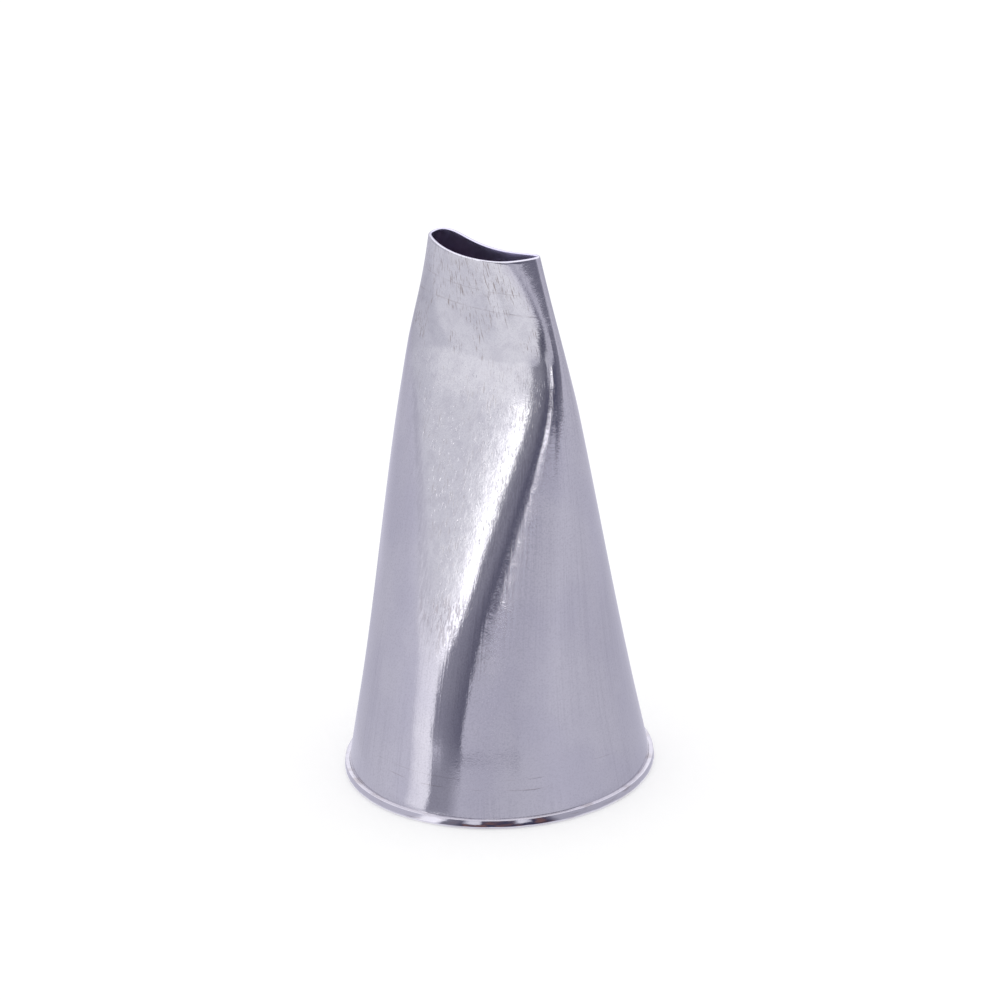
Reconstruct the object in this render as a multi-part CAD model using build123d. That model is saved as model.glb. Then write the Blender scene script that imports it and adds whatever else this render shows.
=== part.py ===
from build123d import *
from math import cos, hypot, pi, radians, sin, sqrt
import os

# A petal piping nozzle of thin sheet, in millimetres, standing on its rolled rim with the mouth up.
# The origin is the centre of the rim's underside and +Z runs up the nozzle.

# Overall sizes, the radii being those of the wall's inside
nozzle_height = 47.0
base_radius = 12.53
mouth_girth_radius = 3.91
sheet = 0.28

# Rolled rim, folded outwards and up round the base, with the slant that its outer bend is drawn as
hem_height = 0.80
hem_gap = 0.02
hem_outer_bend = 0.22

# Where the press works, as heights above the base or lengths below the mouth
round_height = 6.5
ramp_length = 19.5
land_length = 9.5
spread_end_length = 6.5
crescent_length = 14.0

# Distance of the flat's inside from the axis at the foot of the ramp, at the bend and at the mouth
ramp_foot_reach = 7.95
bend_reach = 0.74
mouth_reach = 2.39
bend_softness = 1.0

# Radius of the flat's slight crown across its width, on the ramp and at the mouth
ramp_crown_radius = 150.0
mouth_crown_radius = 7.7

# Softness of the edge where the flat meets the round wall, at the same three places
foot_edge_softness = 0.30
bend_edge_softness = 0.50
mouth_edge_softness = 0.80

# How far the back is pressed in behind the crescent mouth, and how far the mouth is set back
mouth_sag = 2.65
mouth_set_back = 0.50

# Growth of the half width, lean of the flat across its width at the foot of the ramp, at the bend and at
# the mouth, and slimming towards the crescent's tip
spread_share = 0.34
foot_lean_share = -0.08
bend_lean_share = -0.05
mouth_lean_share = 0.11
tip_slim_share = 0.45

# The press faces this way about the axis, in degrees from +X
press_turn = -128.0

# How finely the wall is drawn: points round a section, and the heights of the straight strips between
# sections near the foot, at the foot of the ramp and from the crescent up
section_points = 64
foot_strip = 2.6
ramp_strip = 1.5
mouth_strip = 0.9

bend_height = nozzle_height - land_length
ramp_foot_height = bend_height - ramp_length
spread_end_height = nozzle_height - spread_end_length
crescent_start_height = nozzle_height - crescent_length
taper = (base_radius - mouth_girth_radius) / nozzle_height


def ease(share):
    """A smooth step from 0 to 1."""
    share = min(max(share, 0), 1)
    return share * share * (3 - 2 * share)


def between(height, heights, values):
    """The value at a height, on straight lines through the given places and level outside them."""
    if height <= heights[0]:
        return values[0]
    for low, high, first, last in zip(heights, heights[1:], values, values[1:]):
        if height <= high:
            return first + (last - first) * (height - low) / (high - low)
    return values[-1]


def lesser(first, second, softness):
    """The smaller of two lengths, with a rounded change from one to the other."""
    return (first + second - hypot(first - second, softness)) / 2


def half_depth(half_width, radius):
    """Half the depth of an ellipse of that half width whose girth is that of a circle of the radius."""
    root = sqrt(3 * radius ** 2 + 6 * radius * half_width - 5 * half_width ** 2)
    return radius - 2 * half_width / 3 + root / 3


def flat_reach(height):
    """Distance of the pressed flat from the axis: a slanted ramp that bends into the land under the mouth."""
    ramp = bend_reach + (ramp_foot_reach - bend_reach) * (bend_height - height) / ramp_length
    land = bend_reach + (mouth_reach - bend_reach) * max(height - bend_height, 0) / land_length
    return -lesser(-ramp, -land, bend_softness)


def inside_points(height):
    """The wall's inside at one height: an ellipse that widens as it flattens, cut by the flat in front
    and bent to a crescent near the mouth. The points run from the back, across the press and front to it."""
    radius = base_radius - taper * height
    half_width = radius * (1 + spread_share * ease((height - round_height) / (spread_end_height - round_height)))
    depth = half_depth(half_width, radius)
    pressed = max(height - round_height, 0) / (nozzle_height - round_height)
    bent = ease((height - crescent_start_height) / crescent_length)
    places = [ramp_foot_height, bend_height, nozzle_height]
    lean = between(height, places, [foot_lean_share, bend_lean_share, mouth_lean_share])
    softness = between(height, places, [foot_edge_softness, bend_edge_softness, mouth_edge_softness])
    crown = between(height, places, [1 / ramp_crown_radius, 1 / ramp_crown_radius, 1 / mouth_crown_radius])
    points = []
    for step in range(section_points):
        turn = 2 * pi * step / section_points - pi / 2
        across = half_width * cos(turn)
        front = depth * sin(turn) * (1 - tip_slim_share * bent * cos(turn))
        front += mouth_sag * bent * sin(turn) ** 2
        front -= mouth_set_back * pressed
        flat = flat_reach(height) + lean * across - crown * across ** 2 / 2
        points.append((across, lesser(front, flat, softness)))
    return points


def thickened(points, distance):
    """The same points moved outwards, square to the curve through them."""
    moved = []
    for step, (across, front) in enumerate(points):
        before = points[step - 1]
        after = points[(step + 1) % len(points)]
        run = after[0] - before[0]
        rise = after[1] - before[1]
        length = hypot(run, rise)
        moved.append((across + distance * rise / length, front - distance * run / length))
    return moved


def section_wire(points, height):
    """A closed smooth curve through the points, turned to face the press's way, with one even
    share of the curve between neighbours so that each section follows the one below point for point."""
    front_x = cos(radians(press_turn))
    front_y = sin(radians(press_turn))
    places = []
    for across, front in points:
        places.append((front * front_x - across * front_y, front * front_y + across * front_x, height))
    even_shares = [step / len(points) for step in range(len(points) + 1)]
    return Wire([Edge.make_spline(places, periodic=True, parameters=even_shares)])


def section_heights():
    """Heights of the wall's sections, nearer to each other where the wall changes faster."""
    places = [round_height, ramp_foot_height, crescent_start_height]
    heights = [sheet]
    while heights[-1] < nozzle_height:
        heights.append(heights[-1] + between(heights[-1], places, [foot_strip, ramp_strip, mouth_strip]))
    shrink = (nozzle_height - sheet) / (heights[-1] - sheet)
    return [sheet + (height - sheet) * shrink for height in heights]


def nozzle_cone():
    """The open wall, from the round foot to the crescent mouth."""
    outside = []
    inside = []
    for height in section_heights():
        points = inside_points(height)
        inside.append(section_wire(points, height))
        outside.append(section_wire(thickened(points, sheet), height))
    return Solid.make_loft(outside, ruled=True) - Solid.make_loft(inside, ruled=True)


def rolled_rim():
    """The fold that carries the wall and the lip that stands up round its outside, turned about the axis."""
    bore = base_radius - taper * sheet
    lip_foot = base_radius + sheet + hem_gap
    lip_top = lip_foot - taper * hem_height
    outline = Polyline(
        (bore, sheet),
        (bore, 0),
        (lip_foot + sheet - hem_outer_bend, 0),
        (lip_foot + sheet - taper * hem_outer_bend, hem_outer_bend),
        (lip_top + sheet, hem_height),
        (lip_top, hem_height),
        (lip_foot - taper * sheet, sheet),
        close=True,
    )
    return revolve(Plane.XZ * make_face(outline), Axis.Z)


os.makedirs("parts", exist_ok=True)
export_step(nozzle_cone(), "parts/nozzle_cone.step")
export_step(rolled_rim(), "parts/rolled_rim.step")
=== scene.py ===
import math

import bmesh
import bpy
from mathutils import Matrix, Vector, noise


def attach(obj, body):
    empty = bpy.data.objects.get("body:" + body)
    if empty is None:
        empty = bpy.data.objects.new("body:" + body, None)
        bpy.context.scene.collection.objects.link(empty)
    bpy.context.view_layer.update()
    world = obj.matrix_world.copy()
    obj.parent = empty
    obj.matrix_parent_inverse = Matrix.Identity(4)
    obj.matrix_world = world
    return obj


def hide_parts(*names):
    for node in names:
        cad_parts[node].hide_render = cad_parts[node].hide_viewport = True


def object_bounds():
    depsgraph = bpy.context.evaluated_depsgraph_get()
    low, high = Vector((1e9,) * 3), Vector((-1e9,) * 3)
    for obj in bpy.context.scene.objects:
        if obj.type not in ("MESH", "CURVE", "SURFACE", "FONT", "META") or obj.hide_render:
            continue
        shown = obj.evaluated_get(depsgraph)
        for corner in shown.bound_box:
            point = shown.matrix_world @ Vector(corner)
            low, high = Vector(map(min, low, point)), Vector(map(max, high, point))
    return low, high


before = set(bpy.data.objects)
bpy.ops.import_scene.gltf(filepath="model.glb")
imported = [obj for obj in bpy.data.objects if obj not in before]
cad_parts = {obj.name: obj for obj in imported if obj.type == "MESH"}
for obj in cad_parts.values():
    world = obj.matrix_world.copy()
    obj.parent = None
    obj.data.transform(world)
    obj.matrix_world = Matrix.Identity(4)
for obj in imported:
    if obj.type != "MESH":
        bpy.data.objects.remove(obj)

CAD_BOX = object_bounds()

MM = 0.001

# Sizes of the nozzle, the radii being those of the wall's inside
NOZZLE_HEIGHT = CAD_BOX[1][2]
SHEET = 0.28 * MM
BASE_RADIUS = 12.53 * MM
MOUTH_GIRTH_RADIUS = 3.91 * MM
TAPER = (BASE_RADIUS - MOUTH_GIRTH_RADIUS) / NOZZLE_HEIGHT

# The pressed flat is a ramp that bends into a land under the mouth
LAND_LENGTH = 9.5 * MM
RAMP_LENGTH = 19.5 * MM
BEND_HEIGHT = NOZZLE_HEIGHT - LAND_LENGTH
RAMP_FOOT_HEIGHT = BEND_HEIGHT - RAMP_LENGTH

# The press faces this way about the axis, from +X
PRESS_TURN = math.radians(-128.0)

# The formed wall's named inputs, in metres unless they are shares
WALL_SIZES = {
    "Height": NOZZLE_HEIGHT,
    "Foot height": SHEET,
    "Sheet": SHEET,
    "Mouth edge round": 0.10 * MM,
    "Base radius": BASE_RADIUS,
    "Taper": TAPER,
    "Round height": 6.5 * MM,
    "Ramp length": RAMP_LENGTH,
    "Land length": LAND_LENGTH,
    "Spread end length": 6.5 * MM,
    "Crescent length": 14.0 * MM,
    "Ramp foot reach": 7.95 * MM,
    "Bend reach": 0.74 * MM,
    "Mouth reach": 2.39 * MM,
    "Bend softness": 1.0 * MM,
    "Ramp crown radius": 150.0 * MM,
    "Mouth crown radius": 7.7 * MM,
    "Foot edge softness": 0.25 * MM,
    "Bend edge softness": 0.90 * MM,
    "Mouth edge softness": 0.60 * MM,
    "Mouth sag": 2.65 * MM,
    "Mouth set back": 0.50 * MM,
    "Spread share": 0.34,
    "Foot lean share": -0.08,
    "Bend lean share": -0.05,
    "Mouth lean share": 0.11,
    "Tip slim share": 0.45,
    "Relief": 0.030 * MM,
    "Relief size": 5.0 * MM,
}
WALL_ROWS = 290
WALL_COLUMNS = 260

# How the wall's sheet of quads is shared out: the inside ends at the first share, and the turn over the
# mouth's edge at the second
INSIDE_SHARE = 0.30
OVER_SHARE = 0.34
SQUARE_NUDGE = math.radians(0.4)
MERGE_DISTANCE = 0.002 * MM

# How far the flat cuts the round wall where its own marks, and those beside it, begin and are full
FLAT_CUT = (-0.2 * MM, 0.5 * MM)
BESIDE_CUT = (-3.2 * MM, -0.6 * MM)


class Value:
    """One socket of a node tree. Arithmetic on it adds the Math nodes that work it out."""

    def __init__(self, graph, socket):
        self.graph = graph
        self.socket = socket

    def math(self, operation, *others):
        return self.graph.math(operation, self, *others)

    def __add__(self, other):
        return self.math("ADD", other)

    def __sub__(self, other):
        return self.math("SUBTRACT", other)

    def __mul__(self, other):
        return self.math("MULTIPLY", other)

    def __truediv__(self, other):
        return self.math("DIVIDE", other)

    def __pow__(self, other):
        return self.math("POWER", other)

    def __neg__(self):
        return self.math("MULTIPLY", -1.0)

    def __rsub__(self, other):
        return self.graph.math("SUBTRACT", other, self)

    def __rtruediv__(self, other):
        return self.graph.math("DIVIDE", other, self)

    __radd__ = __add__
    __rmul__ = __mul__


class Graph:
    """Adds nodes to one tree: the settings first, and then the values or links of the sockets."""

    def __init__(self, tree):
        self.tree = tree

    def node(self, kind, settings=None, inputs=None):
        node = self.tree.nodes.new(kind)
        for name, setting in (settings or {}).items():
            setattr(node, name, setting)
        for key, given in (inputs or {}).items():
            if isinstance(given, Value):
                self.tree.links.new(given.socket, node.inputs[key])
            else:
                node.inputs[key].default_value = given
        return node

    def value(self, kind, settings=None, inputs=None, output=0):
        return Value(self, self.node(kind, settings, inputs).outputs[output])

    def math(self, operation, *given):
        return self.value("ShaderNodeMath", {"operation": operation}, dict(enumerate(given)))

    def clamp(self, given):
        return self.value("ShaderNodeClamp", None, {"Value": given})

    def span(self, given, start, end):
        """0 at the start, 1 at the end, on a straight line between them and level outside them."""
        return self.clamp((given - start) / (end - start))

    def step(self, given, start, end):
        """0 at the start, 1 at the end, with a smooth change between them."""
        share = self.span(given, start, end)
        return share * share * (3.0 - 2.0 * share)

    def band(self, given, rise, fall):
        """1 between two soft edges and 0 outside them, each edge being where its change starts and ends."""
        return self.step(given, *rise) * (1.0 - self.step(given, *fall))

    def blend(self, first, second, share):
        """Goes from one value to another as the share goes from 0 to 1."""
        return first * (1.0 - share) + share * second

    def ramp(self, given, stops):
        """A value on straight lines between the given stops, each a place from 0 to 1 and a level."""
        node = self.node("ShaderNodeValToRGB", None, {"Fac": given})
        elements = node.color_ramp.elements
        while len(elements) < len(stops):
            elements.new(1.0)
        for element, (place, level) in zip(elements, stops):
            element.position = place
            element.color = (level, level, level, 1.0)
        return Value(self, node.outputs["Color"])

    def object_place(self):
        return self.value("ShaderNodeTexCoord", None, None, "Object")

    def attribute(self, name):
        return self.value("ShaderNodeAttribute", {"attribute_name": name}, None, "Fac")

    def place(self, x, y, z):
        return self.value("ShaderNodeCombineXYZ", None, {"X": x, "Y": y, "Z": z})

    def parts(self, place):
        """The three parts of a place."""
        node = self.node("ShaderNodeSeparateXYZ", None, {"Vector": place})
        return [Value(self, node.outputs[name]) for name in "XYZ"]

    def grain(self, place, across, up, seed, detail=2.0, roughness=0.5):
        """Noise from 0 to 1 whose features have the given sizes across and up the place."""
        sizes = (across, across, up)
        scaled = self.value("ShaderNodeVectorMath", {"operation": "DIVIDE"}, {0: place, 1: sizes})
        inputs = {"Vector": scaled, "W": seed, "Scale": 1.0, "Detail": detail, "Roughness": roughness}
        return self.value("ShaderNodeTexNoise", {"noise_dimensions": "4D"}, inputs)

    def thin_line(self, height, line, half_width):
        """1 on a thin line at a height and 0 away from it."""
        gap = (height - line).math("ABSOLUTE")
        return 1.0 - self.step(gap, half_width * 0.5, half_width)

    def colour(self, low, high, share):
        """Goes from one colour to another as the share goes from 0 to 1."""
        settings = {"data_type": "RGBA", "blend_type": "MIX", "clamp_factor": True}
        return self.value("ShaderNodeMix", settings, {0: share, 6: low, 7: high}, 2)

    def mixed(self, share, first, second):
        """Goes from one shader to another as the share goes from 0 to 1."""
        return self.value("ShaderNodeMixShader", None, {0: share, 1: first, 2: second})


def lesser(first, second, softness):
    """The smaller of two lengths, with a rounded change from one to the other."""
    gap = first - second
    return (first + second - (gap * gap + softness * softness) ** 0.5) * 0.5


class WallRule:
    """The rule that the wall's inside follows: an ellipse that widens as it flattens, cut by the pressed
    flat in front and bent to a crescent at the mouth."""

    def __init__(self, graph, sizes, height):
        self.sizes = sizes
        radius = sizes["Base radius"] - sizes["Taper"] * height
        bend = sizes["Height"] - sizes["Land length"]
        foot = bend - sizes["Ramp length"]
        spread_end = sizes["Height"] - sizes["Spread end length"]
        crescent_start = sizes["Height"] - sizes["Crescent length"]
        spread = graph.step(height, sizes["Round height"], spread_end)
        self.half_width = radius * (1.0 + sizes["Spread share"] * spread)
        girth_term = 3.0 * radius * radius + 6.0 * radius * self.half_width
        girth_term = girth_term - 5.0 * self.half_width * self.half_width
        self.half_depth = radius - self.half_width * (2.0 / 3.0) + girth_term ** 0.5 / 3.0
        self.bent = graph.step(height, crescent_start, sizes["Height"])
        self.set_back = sizes["Mouth set back"] * graph.span(height, sizes["Round height"], sizes["Height"])
        rise = sizes["Ramp foot reach"] - sizes["Bend reach"]
        ramp = sizes["Bend reach"] + rise * (bend - height) / sizes["Ramp length"]
        on_land = graph.span(height, bend, sizes["Height"])
        land = sizes["Bend reach"] + (sizes["Mouth reach"] - sizes["Bend reach"]) * on_land
        self.reach = -lesser(-ramp, -land, sizes["Bend softness"])
        on_ramp = graph.span(height, foot, bend)
        self.lean = sizes["Foot lean share"] + (sizes["Bend lean share"] - sizes["Foot lean share"]) * on_ramp
        self.lean = self.lean + (sizes["Mouth lean share"] - sizes["Bend lean share"]) * on_land
        ramp_gain = (sizes["Bend edge softness"] - sizes["Foot edge softness"]) * on_ramp
        land_gain = (sizes["Mouth edge softness"] - sizes["Bend edge softness"]) * on_land
        self.softness = sizes["Foot edge softness"] + ramp_gain + land_gain
        ramp_crown = 1.0 / sizes["Ramp crown radius"]
        self.crown = ramp_crown + (1.0 / sizes["Mouth crown radius"] - ramp_crown) * on_land

    def place(self, turn):
        """At one turn, the distance across the press and towards its front, and how far the flat cuts the
        ellipse."""
        cosine = turn.math("COSINE")
        sine = turn.math("SINE")
        across = self.half_width * cosine
        plain = self.half_depth * sine * (1.0 - self.sizes["Tip slim share"] * self.bent * cosine)
        plain = plain + self.sizes["Mouth sag"] * self.bent * sine * sine - self.set_back
        flat = self.reach + self.lean * across - self.crown * across * across * 0.5
        return across, lesser(plain, flat, self.softness), plain - flat


def formed_wall_tree():
    """Node tree of the cone's whole wall. A sheet of quads runs up the inside, over the mouth's edge, down
    the outside and back under the foot, and each of its points is put where the wall's rule says."""
    tree = bpy.data.node_groups.new("formed wall", "GeometryNodeTree")
    for name in WALL_SIZES:
        tree.interface.new_socket(name, in_out="INPUT", socket_type="NodeSocketFloat")
    for name in ("Rows", "Columns"):
        tree.interface.new_socket(name, in_out="INPUT", socket_type="NodeSocketInt")
    tree.interface.new_socket("Steel", in_out="INPUT", socket_type="NodeSocketMaterial")
    tree.interface.new_socket("Geometry", in_out="OUTPUT", socket_type="NodeSocketGeometry")
    graph = Graph(tree)
    given = graph.node("NodeGroupInput")
    sizes = {socket.name: Value(graph, socket) for socket in given.outputs if socket.name}

    grid_inputs = {"Size X": 1.0, "Size Y": 1.0, "Vertices X": sizes["Rows"], "Vertices Y": sizes["Columns"]}
    grid = graph.value("GeometryNodeMeshGrid", None, grid_inputs)
    along, around = (part + 0.5 for part in graph.parts(graph.value("GeometryNodeInputPosition"))[:2])

    last_step = 1.0 / (sizes["Rows"] - 1.0)
    up = graph.span(along, 0.0, INSIDE_SHARE)
    over = graph.span(along, INSIDE_SHARE, OVER_SHARE)
    down = graph.span(along, OVER_SHARE, 1.0 - last_step)
    under = graph.span(along, 1.0 - last_step, 1.0)
    edge_turn = over * math.pi
    wall_top = sizes["Height"] - sizes["Mouth edge round"]
    height = sizes["Foot height"] + (wall_top - sizes["Foot height"]) * (up - down)
    height = height + sizes["Mouth edge round"] * edge_turn.math("SINE")
    offset = sizes["Sheet"] * ((1.0 - edge_turn.math("COSINE")) * 0.5 - under)

    rule = WallRule(graph, sizes, height)
    turn = around * (2.0 * math.pi) - 0.5 * math.pi
    across, front, cut = rule.place(turn)
    across_before, front_before = rule.place(turn - SQUARE_NUDGE)[:2]
    across_after, front_after = rule.place(turn + SQUARE_NUDGE)[:2]
    run = across_after - across_before
    rise = front_after - front_before
    length = (run * run + rise * rise) ** 0.5
    on_flat = graph.step(cut, *FLAT_CUT)
    beside = graph.step(cut, *BESIDE_CUT) * (1.0 - on_flat)

    noise_inputs = {"Scale": 1.0 / sizes["Relief size"], "Detail": 1.0, "Roughness": 0.4}
    noise_inputs["Vector"] = graph.place(across, front, height)
    ripple = graph.value("ShaderNodeTexNoise", {"noise_dimensions": "3D"}, noise_inputs) - 0.5
    offset = offset + ripple * sizes["Relief"] * on_flat

    across = across + offset * rise / length
    front = front - offset * run / length
    front_x = math.cos(PRESS_TURN)
    front_y = math.sin(PRESS_TURN)
    place = graph.place(front * front_x - across * front_y, front * front_y + across * front_x, height)

    inside = 1.0 - graph.step(along, INSIDE_SHARE, OVER_SHARE)
    marks = {"on_flat": on_flat, "beside_flat": beside, "around_share": around, "inside": inside}
    geometry = grid
    for name, share in marks.items():
        settings = {"data_type": "FLOAT", "domain": "POINT"}
        inputs = {"Geometry": geometry, "Name": name, "Value": share}
        geometry = graph.value("GeometryNodeStoreNamedAttribute", settings, inputs)
    finishing = (
        ("GeometryNodeSetPosition", {"Position": place}),
        ("GeometryNodeMergeByDistance", {"Distance": MERGE_DISTANCE}),
        ("GeometryNodeSetShadeSmooth", {"Shade Smooth": True}),
        ("GeometryNodeRealizeInstances", {}),
        ("GeometryNodeSetMaterial", {"Material": sizes["Steel"]}),
    )
    for kind, inputs in finishing:
        geometry = graph.value(kind, None, {"Geometry": geometry, **inputs})
    graph.node("NodeGroupOutput", None, {"Geometry": geometry})
    return tree


def grown_piece(name, tree, inputs):
    """A plain mesh piece made by a Geometry Nodes tree from its named inputs."""
    holder = bpy.data.objects.new(name, bpy.data.meshes.new(name + " start"))
    bpy.context.scene.collection.objects.link(holder)
    modifier = holder.modifiers.new("formed", "NODES")
    modifier.node_group = tree
    for socket in tree.interface.items_tree:
        if socket.item_type == "SOCKET" and socket.in_out == "INPUT":
            modifier[socket.identifier] = inputs[socket.name]
    evaluated = bpy.context.evaluated_depsgraph_get()
    grown = bpy.data.meshes.new_from_object(holder.evaluated_get(evaluated), depsgraph=evaluated)
    holder.modifiers.clear()
    holder.data = grown
    grown.name = name
    return holder


def placed_mesh(name, shape):
    """An object in the scene that holds a shape built in bmesh."""
    mesh = bpy.data.meshes.new(name)
    shape.to_mesh(mesh)
    shape.free()
    piece = bpy.data.objects.new(name, mesh)
    bpy.context.scene.collection.objects.link(piece)
    return piece


def facing_out(piece):
    """Turns the piece's faces outwards, going by the volume that they enclose."""
    shape = bmesh.new()
    shape.from_mesh(piece.data)
    if shape.calc_volume(signed=True) < 0:
        bmesh.ops.reverse_faces(shape, faces=shape.faces)
    shape.to_mesh(piece.data)
    shape.free()
    return piece


def steel_shader(name):
    """A metal material's graph and its shader node, with the shader's own constants set."""
    material = bpy.data.materials.new(name)
    material.use_nodes = True
    graph = Graph(material.node_tree)
    shader = material.node_tree.nodes["Principled BSDF"]
    shader.inputs["Metallic"].default_value = 1.0
    return material, graph, shader


def finish_steel(graph, shader, colour, roughness, height):
    """Feeds the shader. The height is in millimetres."""
    bump = graph.value("ShaderNodeBump", None, {"Strength": 1.0, "Distance": MM, "Height": height})
    for name, value in (("Base Color", colour), ("Roughness", roughness), ("Normal", bump)):
        graph.tree.links.new(value.socket, shader.inputs[name])


# Colours of the steel
BRIGHT_STEEL = (0.67, 0.66, 0.68, 1.0)
GREY_STEEL = (0.61, 0.60, 0.64, 1.0)
FLAT_STEEL = (0.655, 0.660, 0.645, 1.0)
SPECK_STEEL = (0.46, 0.45, 0.48, 1.0)
RUBBED_STEEL = (0.28, 0.23, 0.20, 1.0)
FLECK_STEEL = (0.90, 0.89, 0.87, 1.0)
# The inside's colour is painted bluer than the outside: painted shade inside the bore
BORE_SHADE_STEEL = (0.62, 0.60, 0.73, 1.0)
MEAN_RADIUS = 9.0 * MM

# Where marks on the pressed flat begin or end, each a pair of heights that the change runs between
LAND_FOOT = (BEND_HEIGHT - 1.0 * MM, BEND_HEIGHT + 1.5 * MM)
RAMP_TOP = (BEND_HEIGHT - 1.5 * MM, BEND_HEIGHT + 0.5 * MM)
RAMP_FOOT_TOP = (RAMP_FOOT_HEIGHT - 0.5 * MM, RAMP_FOOT_HEIGHT + 1.5 * MM)
DIE_EDGE_TOP = (BEND_HEIGHT - 4.5 * MM, BEND_HEIGHT - 1.5 * MM)
MOUTH_END = (NOZZLE_HEIGHT - 4.5 * MM, NOZZLE_HEIGHT - 1.5 * MM)

# Thin scratches: two arcs round the foot, and two lines across the land that tilt
FOOT_ARC_HEIGHT = 3.3 * MM
FOOT_ARC_BOW = 1.6 * MM
FOOT_ARC_GAP = 0.8 * MM
FOOT_ARC_HALF_WIDTH = 0.05 * MM
UPPER_ARC_HALF_WIDTH = 0.04 * MM
LAND_LINE_HEIGHT = NOZZLE_HEIGHT - 4.8 * MM
UPPER_LINE_HEIGHT = NOZZLE_HEIGHT - 3.0 * MM
LAND_LINE_TILT = 0.8 * MM
LAND_LINE_HALF_WIDTH = 0.09 * MM
UPPER_LINE_HALF_WIDTH = 0.07 * MM


def pressed_steel():
    """Drawn and pressed sheet: fine speckle all over, long faint draw lines up the wall, thin scratches round
    the foot and across the land, and in the pressed flat short upright rub marks, bright flecks and the
    mottling that the die leaves."""
    material, graph, shader = steel_shader("pressed steel")
    place = graph.object_place()
    z = graph.parts(place)[2]
    turn = graph.attribute("around_share") * (2.0 * math.pi)
    on_flat = graph.attribute("on_flat")
    beside = graph.attribute("beside_flat")
    inside = graph.attribute("inside")
    drawn = graph.place(turn.math("COSINE") * MEAN_RADIUS, turn.math("SINE") * MEAN_RADIUS, z)

    on_land = graph.step(z, *LAND_FOOT) * on_flat
    on_ramp = (1.0 - graph.step(z, *RAMP_TOP)) * on_flat
    ramp_foot = on_ramp * (1.0 - graph.step(z, *RAMP_FOOT_TOP))
    round_wall = 1.0 - on_flat
    deep_flat = graph.step(on_flat, 0.75, 1.0)
    mouth_end = graph.step(z, *MOUTH_END)

    tone = graph.grain(place, across=5.0 * MM, up=8.0 * MM, seed=1.0)
    speckle = graph.grain(place, across=0.15 * MM, up=0.15 * MM, seed=2.0, detail=1.0)
    fine = graph.grain(place, across=0.08 * MM, up=0.08 * MM, seed=3.0, detail=0.0)
    draw_lines = graph.grain(drawn, across=0.15 * MM, up=14.0 * MM, seed=4.0, detail=1.0)
    lines_where = graph.grain(drawn, across=4.0 * MM, up=12.0 * MM, seed=12.0, detail=1.0)
    faint_bands = graph.grain(drawn, across=1.3 * MM, up=40.0 * MM, seed=5.0, detail=1.0)
    mottle = graph.grain(place, across=0.9 * MM, up=1.1 * MM, seed=6.0)
    rub = graph.grain(drawn, across=0.17 * MM, up=1.0 * MM, seed=7.0, roughness=0.6)
    rub_where = graph.grain(place, across=2.2 * MM, up=3.0 * MM, seed=8.0, detail=1.0)
    fleck = graph.grain(drawn, across=0.15 * MM, up=0.55 * MM, seed=9.0, detail=1.0, roughness=0.6)
    fleck_where = graph.grain(place, across=1.8 * MM, up=2.2 * MM, seed=14.0, detail=1.0)
    scratch_where = graph.grain(drawn, across=2.5 * MM, up=2.0 * MM, seed=11.0, detail=1.0)
    bow = graph.grain(place, across=7.0 * MM, up=7.0 * MM, seed=15.0, detail=0.0) - 0.5

    rubbed = graph.step(rub, 0.54, 0.66) * graph.step(rub_where + mouth_end * 0.16, 0.42, 0.58)
    rubbed = rubbed * (on_land * 0.80 + on_ramp * deep_flat * 0.30)
    flecks = graph.step(fleck, 0.62, 0.72) * graph.step(fleck_where, 0.38, 0.58)
    flecks = flecks * (on_ramp * 0.9 + on_land * 0.15) * deep_flat
    dark_flecks = graph.step(1.0 - fleck, 0.66, 0.74) * (on_ramp * 0.5 + on_land * 0.3) * deep_flat
    foot_marks = graph.step(rub, 0.52, 0.60) * ramp_foot
    arc_height = FOOT_ARC_HEIGHT + bow * FOOT_ARC_BOW
    arcs = graph.thin_line(z, arc_height, FOOT_ARC_HALF_WIDTH)
    arcs = arcs + graph.thin_line(z, arc_height + FOOT_ARC_GAP, UPPER_ARC_HALF_WIDTH) * 0.6
    arcs = arcs * graph.step(scratch_where, 0.50, 0.62) * round_wall
    tilt = bow * LAND_LINE_TILT
    land_lines = graph.thin_line(z, LAND_LINE_HEIGHT + tilt, LAND_LINE_HALF_WIDTH)
    land_lines = land_lines + graph.thin_line(z, UPPER_LINE_HEIGHT + tilt, UPPER_LINE_HALF_WIDTH)
    land_lines = land_lines * graph.step(scratch_where, 0.35, 0.60) * on_land
    lines = graph.step(draw_lines, 0.42, 0.70) * graph.step(lines_where, 0.38, 0.60) * round_wall
    die_edge = graph.step(on_flat * round_wall * 4.0, 0.55, 1.0) * (1.0 - graph.step(z, *DIE_EDGE_TOP))

    colour = graph.colour(GREY_STEEL, BRIGHT_STEEL, graph.step(tone, 0.35, 0.65))
    colour = graph.colour(colour, FLAT_STEEL, on_flat * 0.7)
    colour = graph.colour(colour, SPECK_STEEL, graph.step(speckle, 0.40, 0.75) * 0.32 + lines * 0.22)
    colour = graph.colour(colour, SPECK_STEEL, die_edge * graph.span(rub, 0.35, 0.60) * 0.55)
    colour = graph.colour(colour, SPECK_STEEL, graph.step(mottle, 0.45, 0.65) * (on_flat * 0.22 + 0.04))
    colour = graph.colour(colour, RUBBED_STEEL, rubbed * 0.95 + dark_flecks * 0.5 + foot_marks * 0.35)
    colour = graph.colour(colour, RUBBED_STEEL, arcs * 0.30 + land_lines * 0.22)
    colour = graph.colour(colour, FLECK_STEEL, flecks)
    # Inside the bore the steel is rougher, and its colour is painted bluer for the shade in there (painted
    # shade)
    colour = graph.colour(colour, BORE_SHADE_STEEL, inside)

    roughness = 0.075 + speckle * 0.04 + on_flat * 0.02 + lines * 0.03
    roughness = roughness + rubbed * 0.15 + flecks * 0.12 + foot_marks * 0.12 + inside * 0.20

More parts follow.
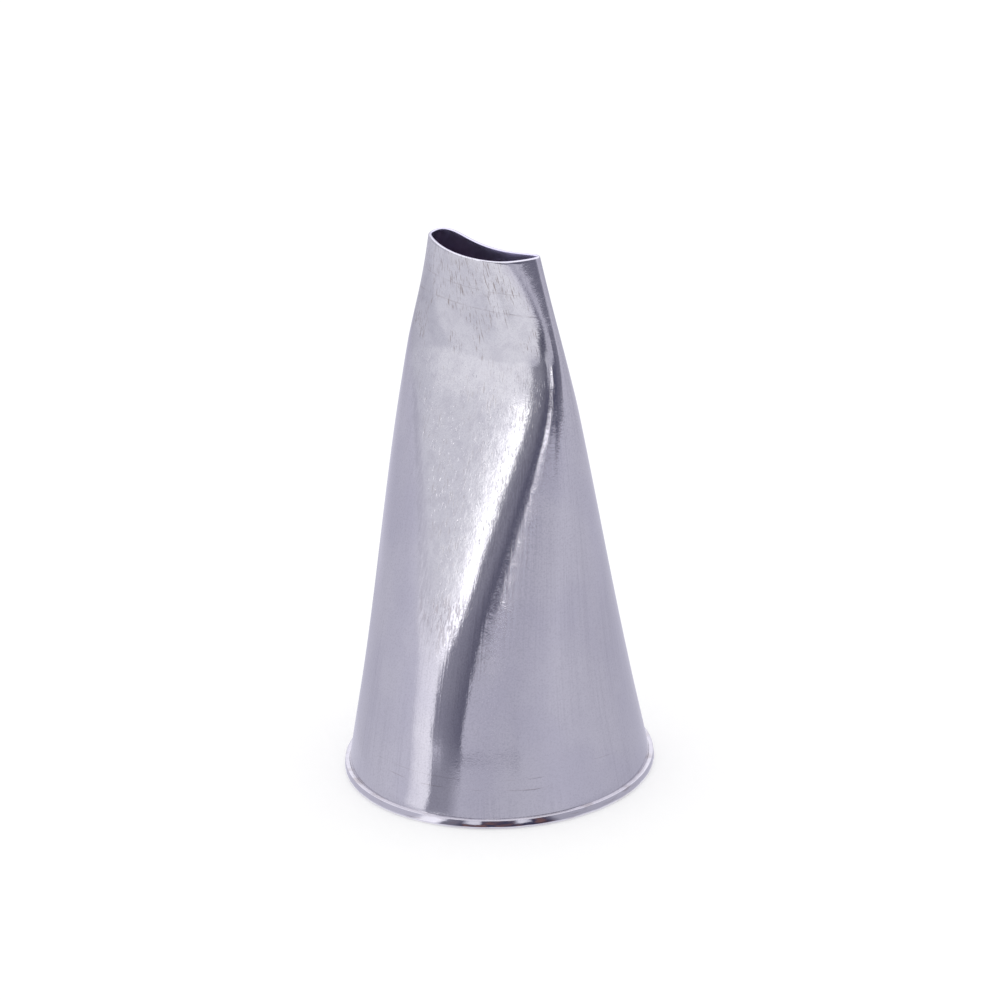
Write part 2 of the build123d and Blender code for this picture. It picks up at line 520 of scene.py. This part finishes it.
    mottle_depth = 0.0036 + on_ramp * deep_flat * 0.0084 + on_land * 0.0030 + beside * 0.0070
    height = speckle * 0.0028 + fine * 0.0010 + lines * 0.0016 + faint_bands * 0.0030
    height = height + mottle * mottle_depth + flecks * 0.0080
    height = height - rubbed * 0.0040 - foot_marks * 0.0040 - arcs * 0.0020 - land_lines * 0.0020
    finish_steel(graph, shader, colour, roughness, height * (1.0 - inside))
    return material


def rolled_steel():
    """The rolled hem: lines that the roller draws round it, dents and a warm rub along its belly."""
    material, graph, shader = steel_shader("rolled steel")
    place = graph.object_place()
    ring = graph.grain(place, across=5.0 * MM, up=0.05 * MM, seed=21.0, detail=1.0)
    dents = graph.grain(place, across=0.9 * MM, up=0.5 * MM, seed=22.0)
    speckle = graph.grain(place, across=0.16 * MM, up=0.16 * MM, seed=23.0, detail=1.0)
    rub_where = graph.grain(place, across=2.2 * MM, up=0.25 * MM, seed=24.0)
    rubbed = graph.step(rub_where, 0.52, 0.66)
    colour = graph.colour(BRIGHT_STEEL, GREY_STEEL, dents)
    colour = graph.colour(colour, RUBBED_STEEL, rubbed * 0.35)
    roughness = 0.10 + speckle * 0.06 + rubbed * 0.08
    height = ring * 0.0020 + dents * 0.0120 + speckle * 0.0020
    finish_steel(graph, shader, colour, roughness, height)
    return material


def nozzle_wall():
    """The cone's wall, grown from its rule."""
    inputs = dict(WALL_SIZES, Rows=WALL_ROWS, Columns=WALL_COLUMNS, Steel=pressed_steel())
    piece = facing_out(grown_piece("formed_wall", formed_wall_tree(), inputs))
    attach(piece, "root")
    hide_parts("nozzle_cone")


# Rolled hem: its section, with the slight lean of its lip and the point where the lean starts
HEM_HEIGHT = 0.80 * MM
HEM_GAP = 0.02 * MM
HEM_BEND = 0.30 * MM
HEM_INNER_BEND = 0.12 * MM
HEM_LIP_ROUND = 0.03 * MM
HEM_LIP_LEAN = 0.05 * MM
HEM_BELLY_LEAN_SHARE = 0.4
HEM_BELLY_HEIGHT_SHARE = 0.65
HEM_BEND_STEPS = 14
HEM_ROUND_STEPS = 6
HEM_STEPS = 720

# The waves in its lower edge, as how closely they follow each other and how deep they are, and how far the
# edge lifts and draws in with them
BROAD_WAVE_RATE = 9.0
BROAD_WAVE_DEPTH = 0.030 * MM
FINE_WAVE_RATE = 28.0
FINE_WAVE_DEPTH = 0.020 * MM
FINE_WAVE_START = Vector((7, 0, 0))
HEM_LEAST_LIFT = 0.02 * MM
HEM_LIFT_SHARE = 0.5
HEM_DRAWN_IN = 0.03 * MM


def arc(centre, radius, start, end, count):
    """Points of an arc in the hem's section, from one angle to another in degrees."""
    points = []
    for step in range(count + 1):
        angle = math.radians(start + (end - start) * step / count)
        points.append((centre[0] + radius * math.cos(angle), centre[1] + radius * math.sin(angle)))
    return points


def hem_section():
    """The fold under the wall and the lip up its outside, as radius and height, going round from the bore."""
    bore = BASE_RADIUS - TAPER * SHEET
    lip = BASE_RADIUS + SHEET + HEM_GAP
    outer = lip + SHEET
    round_height = HEM_HEIGHT - HEM_LIP_ROUND
    outer_round = (outer - HEM_LIP_LEAN - HEM_LIP_ROUND, round_height)
    inner_round = (lip - TAPER * HEM_HEIGHT + HEM_LIP_ROUND, round_height)
    points = [(bore, SHEET)]
    points += arc((bore + HEM_INNER_BEND, HEM_INNER_BEND), HEM_INNER_BEND, 180, 270, HEM_ROUND_STEPS)
    points += arc((outer - HEM_BEND, HEM_BEND), HEM_BEND, 270, 360, HEM_BEND_STEPS)
    points.append((outer - HEM_LIP_LEAN * HEM_BELLY_LEAN_SHARE, HEM_HEIGHT * HEM_BELLY_HEIGHT_SHARE))
    points += arc(outer_round, HEM_LIP_ROUND, 0, 90, HEM_ROUND_STEPS)
    points += arc(inner_round, HEM_LIP_ROUND, 90, 180, HEM_ROUND_STEPS)
    points.append((lip - TAPER * SHEET, SHEET))
    return points


def hem_wave(way):
    """How far the waves push the hem's lower edge out, one way round the axis."""
    broad = noise.noise(way * BROAD_WAVE_RATE) * BROAD_WAVE_DEPTH
    return broad + noise.noise(way * FINE_WAVE_RATE + FINE_WAVE_START) * FINE_WAVE_DEPTH


def rolled_hem():
    """The hem, turned about the axis, with the shallow waves that rolling leaves in its lower edge."""
    shape = bmesh.new()
    section = hem_section()
    rings = []
    for step in range(HEM_STEPS):
        turn = 2 * math.pi * step / HEM_STEPS
        way = Vector((math.cos(turn), math.sin(turn), 0))
        wave = hem_wave(way)
        ring = []
        for radius, height in section:
            seen = max(0.0, min(1.0, (radius - BASE_RADIUS) / SHEET))
            low = seen * max(0.0, 1.0 - height / HEM_HEIGHT)
            lift = low * (HEM_LEAST_LIFT + HEM_LIFT_SHARE * abs(wave))
            reach = radius + low * wave - seen * HEM_DRAWN_IN
            ring.append(shape.verts.new(way * reach + Vector((0, 0, height + lift))))
        rings.append(ring)
    count = len(section)
    for step in range(HEM_STEPS):
        here = rings[step]
        after = rings[(step + 1) % HEM_STEPS]
        for place in range(count):
            follow = (place + 1) % count
            shape.faces.new((here[place], after[place], after[follow], here[follow]))
    piece = placed_mesh("rolled_hem", shape)
    for face in piece.data.polygons:
        face.use_smooth = True
    piece.data.materials.append(rolled_steel())
    facing_out(piece)
    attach(piece, "root")
    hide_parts("rolled_rim")


# Studio. Directions about the nozzle are in degrees, 0 towards the viewer and 90 to the right, and each list
# gives brightness, or elevation in degrees, by direction. An edge is a pair of degrees, or of lengths, that
# the change runs between.

# Brightness of the tent: on the sheet spread round its foot, low and high on its side, and at its top
SHEET_LEVELS = (
    (-180, 0.70), (-100, 0.88), (-60, 0.98), (-30, 1.02), (-20, 1.00), (20, 0.85), (60, 0.66), (180, 0.66),
)
LOW_LEVELS = (
    (-180, 0.62), (-155, 0.70), (-130, 0.65), (-112, 0.68), (-98, 0.70), (-84, 0.74), (-75, 0.76),
    (-71, 1.00), (-66, 1.08), (-57, 1.15), (-54, 0.72), (-20, 0.64), (10, 0.62), (45, 0.70), (75, 0.66),
    (98, 0.64), (130, 0.62), (150, 0.70), (165, 0.76), (180, 0.62),
)
HIGH_LEVELS = (
    (-180, 0.80), (-150, 0.74), (-110, 0.70), (-86, 0.78), (-76, 0.84), (-67, 0.86), (-64, 0.90), (-62, 1.15),
    (-60.5, 1.7), (-59, 2.4), (-54, 2.5), (-50, 0.70), (50, 0.75), (75, 0.70), (110, 0.66), (150, 0.75),
    (180, 0.80),
)
TOP_LEVEL = 1.55

# Elevations at which each of these gives way to the next. To the right of SHEET_RISE_EDGE, the sheet's edge
# lies SHEET_RISE degrees higher.
SHEET_EDGE = (-22.0, -18.0)
SHEET_RISE = 6.0
SHEET_RISE_EDGE = (-85.0, -65.0)
HIGH_EDGE = (6.0, 8.0)
TOP_EDGE = (14.0, 34.0)

TENT_RADIUS = 0.9
TENT_COLUMNS = 96
TENT_ROWS = 48
TENT_CENTRE_HEIGHT = 24.0 * MM

# The tent's dark opening towards the viewer
OPENING_LEFT_EDGE = (-56.5, -55.0)
OPENING_RIGHT_EDGE = (56.0, 64.0)
OPENING_TOP_EDGE = (28.0, 50.0)
OPENING_FOOT_EDGE = (-0.9, 0.6)
OPENING_FOOT = (
    (-57, -6.5), (-31, -6.5), (-27, 5.2), (-20, 3.4), (7, 2.6), (17, 1.8), (24, -2.0), (32, -1.5), (56, -0.8),
    (64, 0.5),
)

# The dark gap between the paper's edge and the tent's foot
GAP_LEFT_EDGE = (-50.0, -44.0)
GAP_RIGHT_EDGE = (18.0, 24.0)
GAP_FOOT_EDGE = (-1.0, 1.0)
GAP_TOP_EDGE = (-0.5, 0.5)
GAP_FOOT = ((-50, -7.5), (-44, -9), (-33, -17), (-16, -15.5), (-8, -12), (8, -9.5), (22, -5))
GAP_TOP = ((-50, -6.2), (-34, -6.6), (-28, -7.6), (8, -7.6), (14, -7.0), (24, -6.8))
DARK_LEVELS = (
    (-180, 0.30), (-50, 0.33), (-42, 0.28), (-30, 0.15), (0, 0.10), (20, 0.13), (34, 0.22), (180, 0.22),
)

# A strip lamp just above the opening's foot, whose lower and upper edges are degrees above that foot
LAMP_LEFT_EDGE = (-20.0, -13.0)
LAMP_RIGHT_EDGE = (-4.0, 4.0)
LAMP_FOOT_EDGE = (1.0, 1.3)
LAMP_TOP_EDGE = (1.8, 2.3)
LAMP_LEVEL = 4.0

# The floor's paper, and the glow that makes it white to the camera
FLOOR_HALF_WIDTH = 2.5
FLOOR_ALBEDO = 0.80
FLOOR_GLOW = 1.0 - FLOOR_ALBEDO + 0.07

# What the hem mirrors of the paper close to it: a white patch to the left, the dark in front, with brown
# where it is darkest, two glints along the top of the lip and a bright line where the hem stands
HEM_LEVELS = (
    (-180, 0.66), (-36, 0.70), (-33, 1.30), (-26, 1.40), (-24, 0.26), (-18, 0.22), (-16, 0.06), (19, 0.06),
    (23, 0.50), (60, 0.62), (180, 0.66),
)
GLINT_LEVELS = (
    (-180, 0.0), (-16, 0.0), (-15, 0.9), (-9.5, 0.9), (-8.5, 0.0), (5.5, 0.0), (6.5, 0.9), (11, 0.9),
    (12, 0.0), (180, 0.0),
)
HEM_FOOT_RADIUS = BASE_RADIUS + 2.0 * SHEET
GLINT_EDGE = (HEM_FOOT_RADIUS + 1.3 * MM, HEM_FOOT_RADIUS + 1.7 * MM)
STANDING_INNER_EDGE = (BASE_RADIUS, HEM_FOOT_RADIUS)
STANDING_OUTER_EDGE = (HEM_FOOT_RADIUS + 0.08 * MM, HEM_FOOT_RADIUS + 0.20 * MM)
# Inside this edge the paper is painted dark: painted shade under the nozzle's bore, as the steel mirrors it
BORE_EDGE = (BASE_RADIUS - SHEET, BASE_RADIUS)
BROWN_GLOW = (0.26, 0.14, 0.13, 1.0)
BROWN_UNDER_LEVEL = 0.3

# What the foot of the wall mirrors of the paper round it, by the direction of the mirrored ray. That is
# worked out from where the ray meets the floor: the ray turns from the way that the wall faces by about this
# share of the way at which it meets the floor.
PAPER_LEVELS = (
    (-180, 0.62), (-130, 0.65), (-84, 0.74), (-75, 0.76), (-71, 1.00), (-66, 1.08), (-57, 1.12), (-55, 0.35),
    (-40, 0.38), (-31, 0.64), (10, 0.62), (45, 0.70), (75, 0.66), (130, 0.62), (180, 0.62),
)
PAPER_EDGE = (17.0 * MM, 19.55 * MM)
OPEN_FLOOR_EDGE = (44.0 * MM, 66.0 * MM)
MIRROR_TURN_SHARE = 0.6

# The studio light's tint, by brightness
GREEN_SHARE = 0.985
BLUE_SHARE = 0.99
LILAC_SHARE = 0.15
LILAC_FULL_LEVEL = 0.75
DARK_LILAC_SHARE = 0.05


def bare_material(name):
    """A material without nodes, and the graph that fills it."""
    material = bpy.data.materials.new(name)
    material.use_nodes = True
    material.node_tree.nodes.clear()
    return material, Graph(material.node_tree)


def way_round(graph, x, y):
    """Degrees round the nozzle of a place."""
    return graph.math("ARCTAN2", x, -y) * math.degrees(1.0)


def round_level(graph, degrees, levels):
    """Brightness in one direction, from a list of directions and levels."""
    stops = [(place / 360.0 + 0.5, level) for place, level in levels]
    return graph.ramp(degrees / 360.0 + 0.5, stops)


def round_height(graph, degrees, heights):
    """Elevation in one direction, from a list of directions and elevations."""
    levels = [(place, height / 90.0 + 0.5) for place, height in heights]
    return (round_level(graph, degrees, levels) - 0.5) * 90.0


def tinted(graph, level):
    """The studio light's colour at a brightness, a little towards lilac."""
    lilac = level.math("MINIMUM", LILAC_FULL_LEVEL) * LILAC_SHARE
    lilac = lilac + (1.0 - level).math("MAXIMUM", 0.0) * DARK_LILAC_SHARE
    parts = {"Red": level, "Green": level * GREEN_SHARE, "Blue": level * BLUE_SHARE + lilac}
    return graph.value("ShaderNodeCombineColor", None, parts)


def mirrored_paper(graph):
    """What the steel's mirrored rays meet on the floor: tones for the hem and for the foot of the wall, and
    further out nothing, so that they go on to the tent."""
    place = graph.object_place()
    x, y = graph.parts(place)[:2]
    degrees = way_round(graph, x, y)
    reach = (x * x + y * y) ** 0.5
    glints = round_level(graph, degrees, GLINT_LEVELS) * graph.step(reach, *GLINT_EDGE)
    level = round_level(graph, degrees, HEM_LEVELS) + glints
    standing = graph.band(reach, STANDING_INNER_EDGE, STANDING_OUTER_EDGE)
    # Painted shade: the paper under the bore is dark in what the steel mirrors
    level = graph.blend(level * graph.step(reach, *BORE_EDGE), 1.0, standing)
    brown = graph.step(graph.grain(place, across=1.2 * MM, up=MM, seed=31.0), 0.45, 0.60)
    brown = brown * (1.0 - graph.span(level, 0.0, BROWN_UNDER_LEVEL))
    hem_colour = graph.colour(tinted(graph, level), BROWN_GLOW, brown)
    turned = (degrees * math.radians(MIRROR_TURN_SHARE)).math("SINE") * (BASE_RADIUS / reach)
    ray_way = degrees + turned.math("ARCSINE") * math.degrees(1.0)
    paper_colour = tinted(graph, round_level(graph, ray_way, PAPER_LEVELS))
    colour = graph.colour(hem_colour, paper_colour, graph.step(reach, *PAPER_EDGE))
    glow = graph.value("ShaderNodeEmission", None, {"Color": colour})
    open_floor = graph.value("ShaderNodeBsdfTransparent")
    return graph.mixed(graph.step(reach, *OPEN_FLOOR_EDGE), glow, open_floor)


def white_floor():
    """White paper that takes the object's shadow."""
    shape = bmesh.new()
    bmesh.ops.create_grid(shape, x_segments=1, y_segments=1, size=FLOOR_HALF_WIDTH)
    floor = placed_mesh("floor", shape)
    material, graph = bare_material("floor paper")
    paper_colour = (FLOOR_ALBEDO, FLOOR_ALBEDO, FLOOR_ALBEDO, 1.0)
    paper = graph.value("ShaderNodeBsdfDiffuse", None, {"Color": paper_colour})
    glow = graph.value("ShaderNodeEmission", None, {"Color": (1.0, 1.0, 1.0, 1.0), "Strength": FLOOR_GLOW})
    white = graph.value("ShaderNodeAddShader", None, {0: paper, 1: glow})
    rays = graph.node("ShaderNodeLightPath")
    camera_ray = Value(graph, rays.outputs["Is Camera Ray"])
    transmission_ray = Value(graph, rays.outputs["Is Transmission Ray"])
    glossy_ray = Value(graph, rays.outputs["Is Glossy Ray"])
    shown = graph.mixed(camera_ray.math("MAXIMUM", transmission_ray), paper, white)
    shown = graph.mixed(glossy_ray, shown, mirrored_paper(graph))
    graph.node("ShaderNodeOutputMaterial", None, {"Surface": shown})
    floor.data.materials.append(material)


def studio_tent():
    """A round tent of bright cloth that only the steel's reflections show, open and dark towards the
    viewer."""
    shape = bmesh.new()
    bmesh.ops.create_uvsphere(shape, u_segments=TENT_COLUMNS, v_segments=TENT_ROWS, radius=TENT_RADIUS)
    bmesh.ops.translate(shape, verts=shape.verts, vec=(0, 0, TENT_CENTRE_HEIGHT))
    tent = placed_mesh("tent", shape)
    for rays in ("camera", "diffuse", "transmission", "shadow"):
        setattr(tent, "visible_" + rays, False)
    material, graph = bare_material("tent cloth")
    x, y, z = graph.parts(graph.object_place())
    degrees = way_round(graph, x, y)
    rise = (z - TENT_CENTRE_HEIGHT) / TENT_RADIUS
    elevation = rise.math("ARCSINE") * math.degrees(1.0)

    above_sheet = elevation - SHEET_RISE * graph.step(degrees, *SHEET_RISE_EDGE)
    level = round_level(graph, degrees, SHEET_LEVELS)
    level = graph.blend(level, round_level(graph, degrees, LOW_LEVELS), graph.step(above_sheet, *SHEET_EDGE))
    level = graph.blend(level, round_level(graph, degrees, HIGH_LEVELS), graph.step(elevation, *HIGH_EDGE))
    level = graph.blend(level, TOP_LEVEL, graph.step(elevation, *TOP_EDGE))

    above_foot = elevation - round_height(graph, degrees, OPENING_FOOT)
    opening = graph.band(degrees, OPENING_LEFT_EDGE, OPENING_RIGHT_EDGE)
    opening = opening * graph.step(above_foot, *OPENING_FOOT_EDGE)
    opening = opening * (1.0 - graph.step(elevation, *OPENING_TOP_EDGE))
    gap = graph.band(degrees, GAP_LEFT_EDGE, GAP_RIGHT_EDGE)
    gap = gap * graph.step(elevation - round_height(graph, degrees, GAP_FOOT), *GAP_FOOT_EDGE)
    gap = gap * (1.0 - graph.step(elevation - round_height(graph, degrees, GAP_TOP), *GAP_TOP_EDGE))
    dark = opening.math("MAXIMUM", gap)
    level = graph.blend(level, round_level(graph, degrees, DARK_LEVELS), dark)

    lamp = graph.band(degrees, LAMP_LEFT_EDGE, LAMP_RIGHT_EDGE)
    lamp = lamp * graph.band(above_foot, LAMP_FOOT_EDGE, LAMP_TOP_EDGE)
    glow = graph.value("ShaderNodeEmission", None, {"Color": tinted(graph, level + lamp * LAMP_LEVEL)})
    graph.node("ShaderNodeOutputMaterial", None, {"Surface": glow})
    tent.data.materials.append(material)


def studio_world():
    """Plain white light from all round."""
    world = bpy.data.worlds.new("studio")
    world.use_nodes = True
    bpy.context.scene.world = world
    back = world.node_tree.nodes["Background"]
    back.inputs["Color"].default_value = (1, 1, 1, 1)
    back.inputs["Strength"].default_value = 1.0


# Camera, from the photograph's perspective
CAMERA_ELEVATION = math.radians(23.93)
CAMERA_DISTANCE = 580.0 * MM
CAMERA_AIM_HEIGHT = 24.0 * MM
CAMERA_ROLL = math.radians(2.079)
CAMERA_FOCAL_PIXELS = 6960.65
CAMERA_SENSOR_WIDTH = 36.0
AIM_PIXEL = (490.194, 501.764)
PHOTO_PIXELS = 1000.0


def photo_camera():
    """The camera at the photograph's viewing angle."""
    data = bpy.data.cameras.new("camera")
    camera = bpy.data.objects.new("camera", data)
    bpy.context.scene.collection.objects.link(camera)
    back = Vector((0, -math.cos(CAMERA_ELEVATION), math.sin(CAMERA_ELEVATION)))
    level_right = Vector((1, 0, 0))
    level_up = back.cross(level_right)
    right = level_right * math.cos(CAMERA_ROLL) - level_up * math.sin(CAMERA_ROLL)
    up = level_right * math.sin(CAMERA_ROLL) + level_up * math.cos(CAMERA_ROLL)
    turned = Matrix((right, up, back)).transposed().to_4x4()
    turned.translation = Vector((0, 0, CAMERA_AIM_HEIGHT)) + back * CAMERA_DISTANCE
    camera.matrix_world = turned
    data.sensor_width = CAMERA_SENSOR_WIDTH
    data.lens = CAMERA_FOCAL_PIXELS / PHOTO_PIXELS * data.sensor_width
    data.shift_x = 0.5 - AIM_PIXEL[0] / PHOTO_PIXELS
    data.shift_y = AIM_PIXEL[1] / PHOTO_PIXELS - 0.5
    bpy.context.scene.camera = camera


photo_camera()
studio_world()
studio_tent()
white_floor()
nozzle_wall()
rolled_hem()
bpy.context.scene.view_settings.view_transform = "Standard"

bpy.context.view_layer.update()
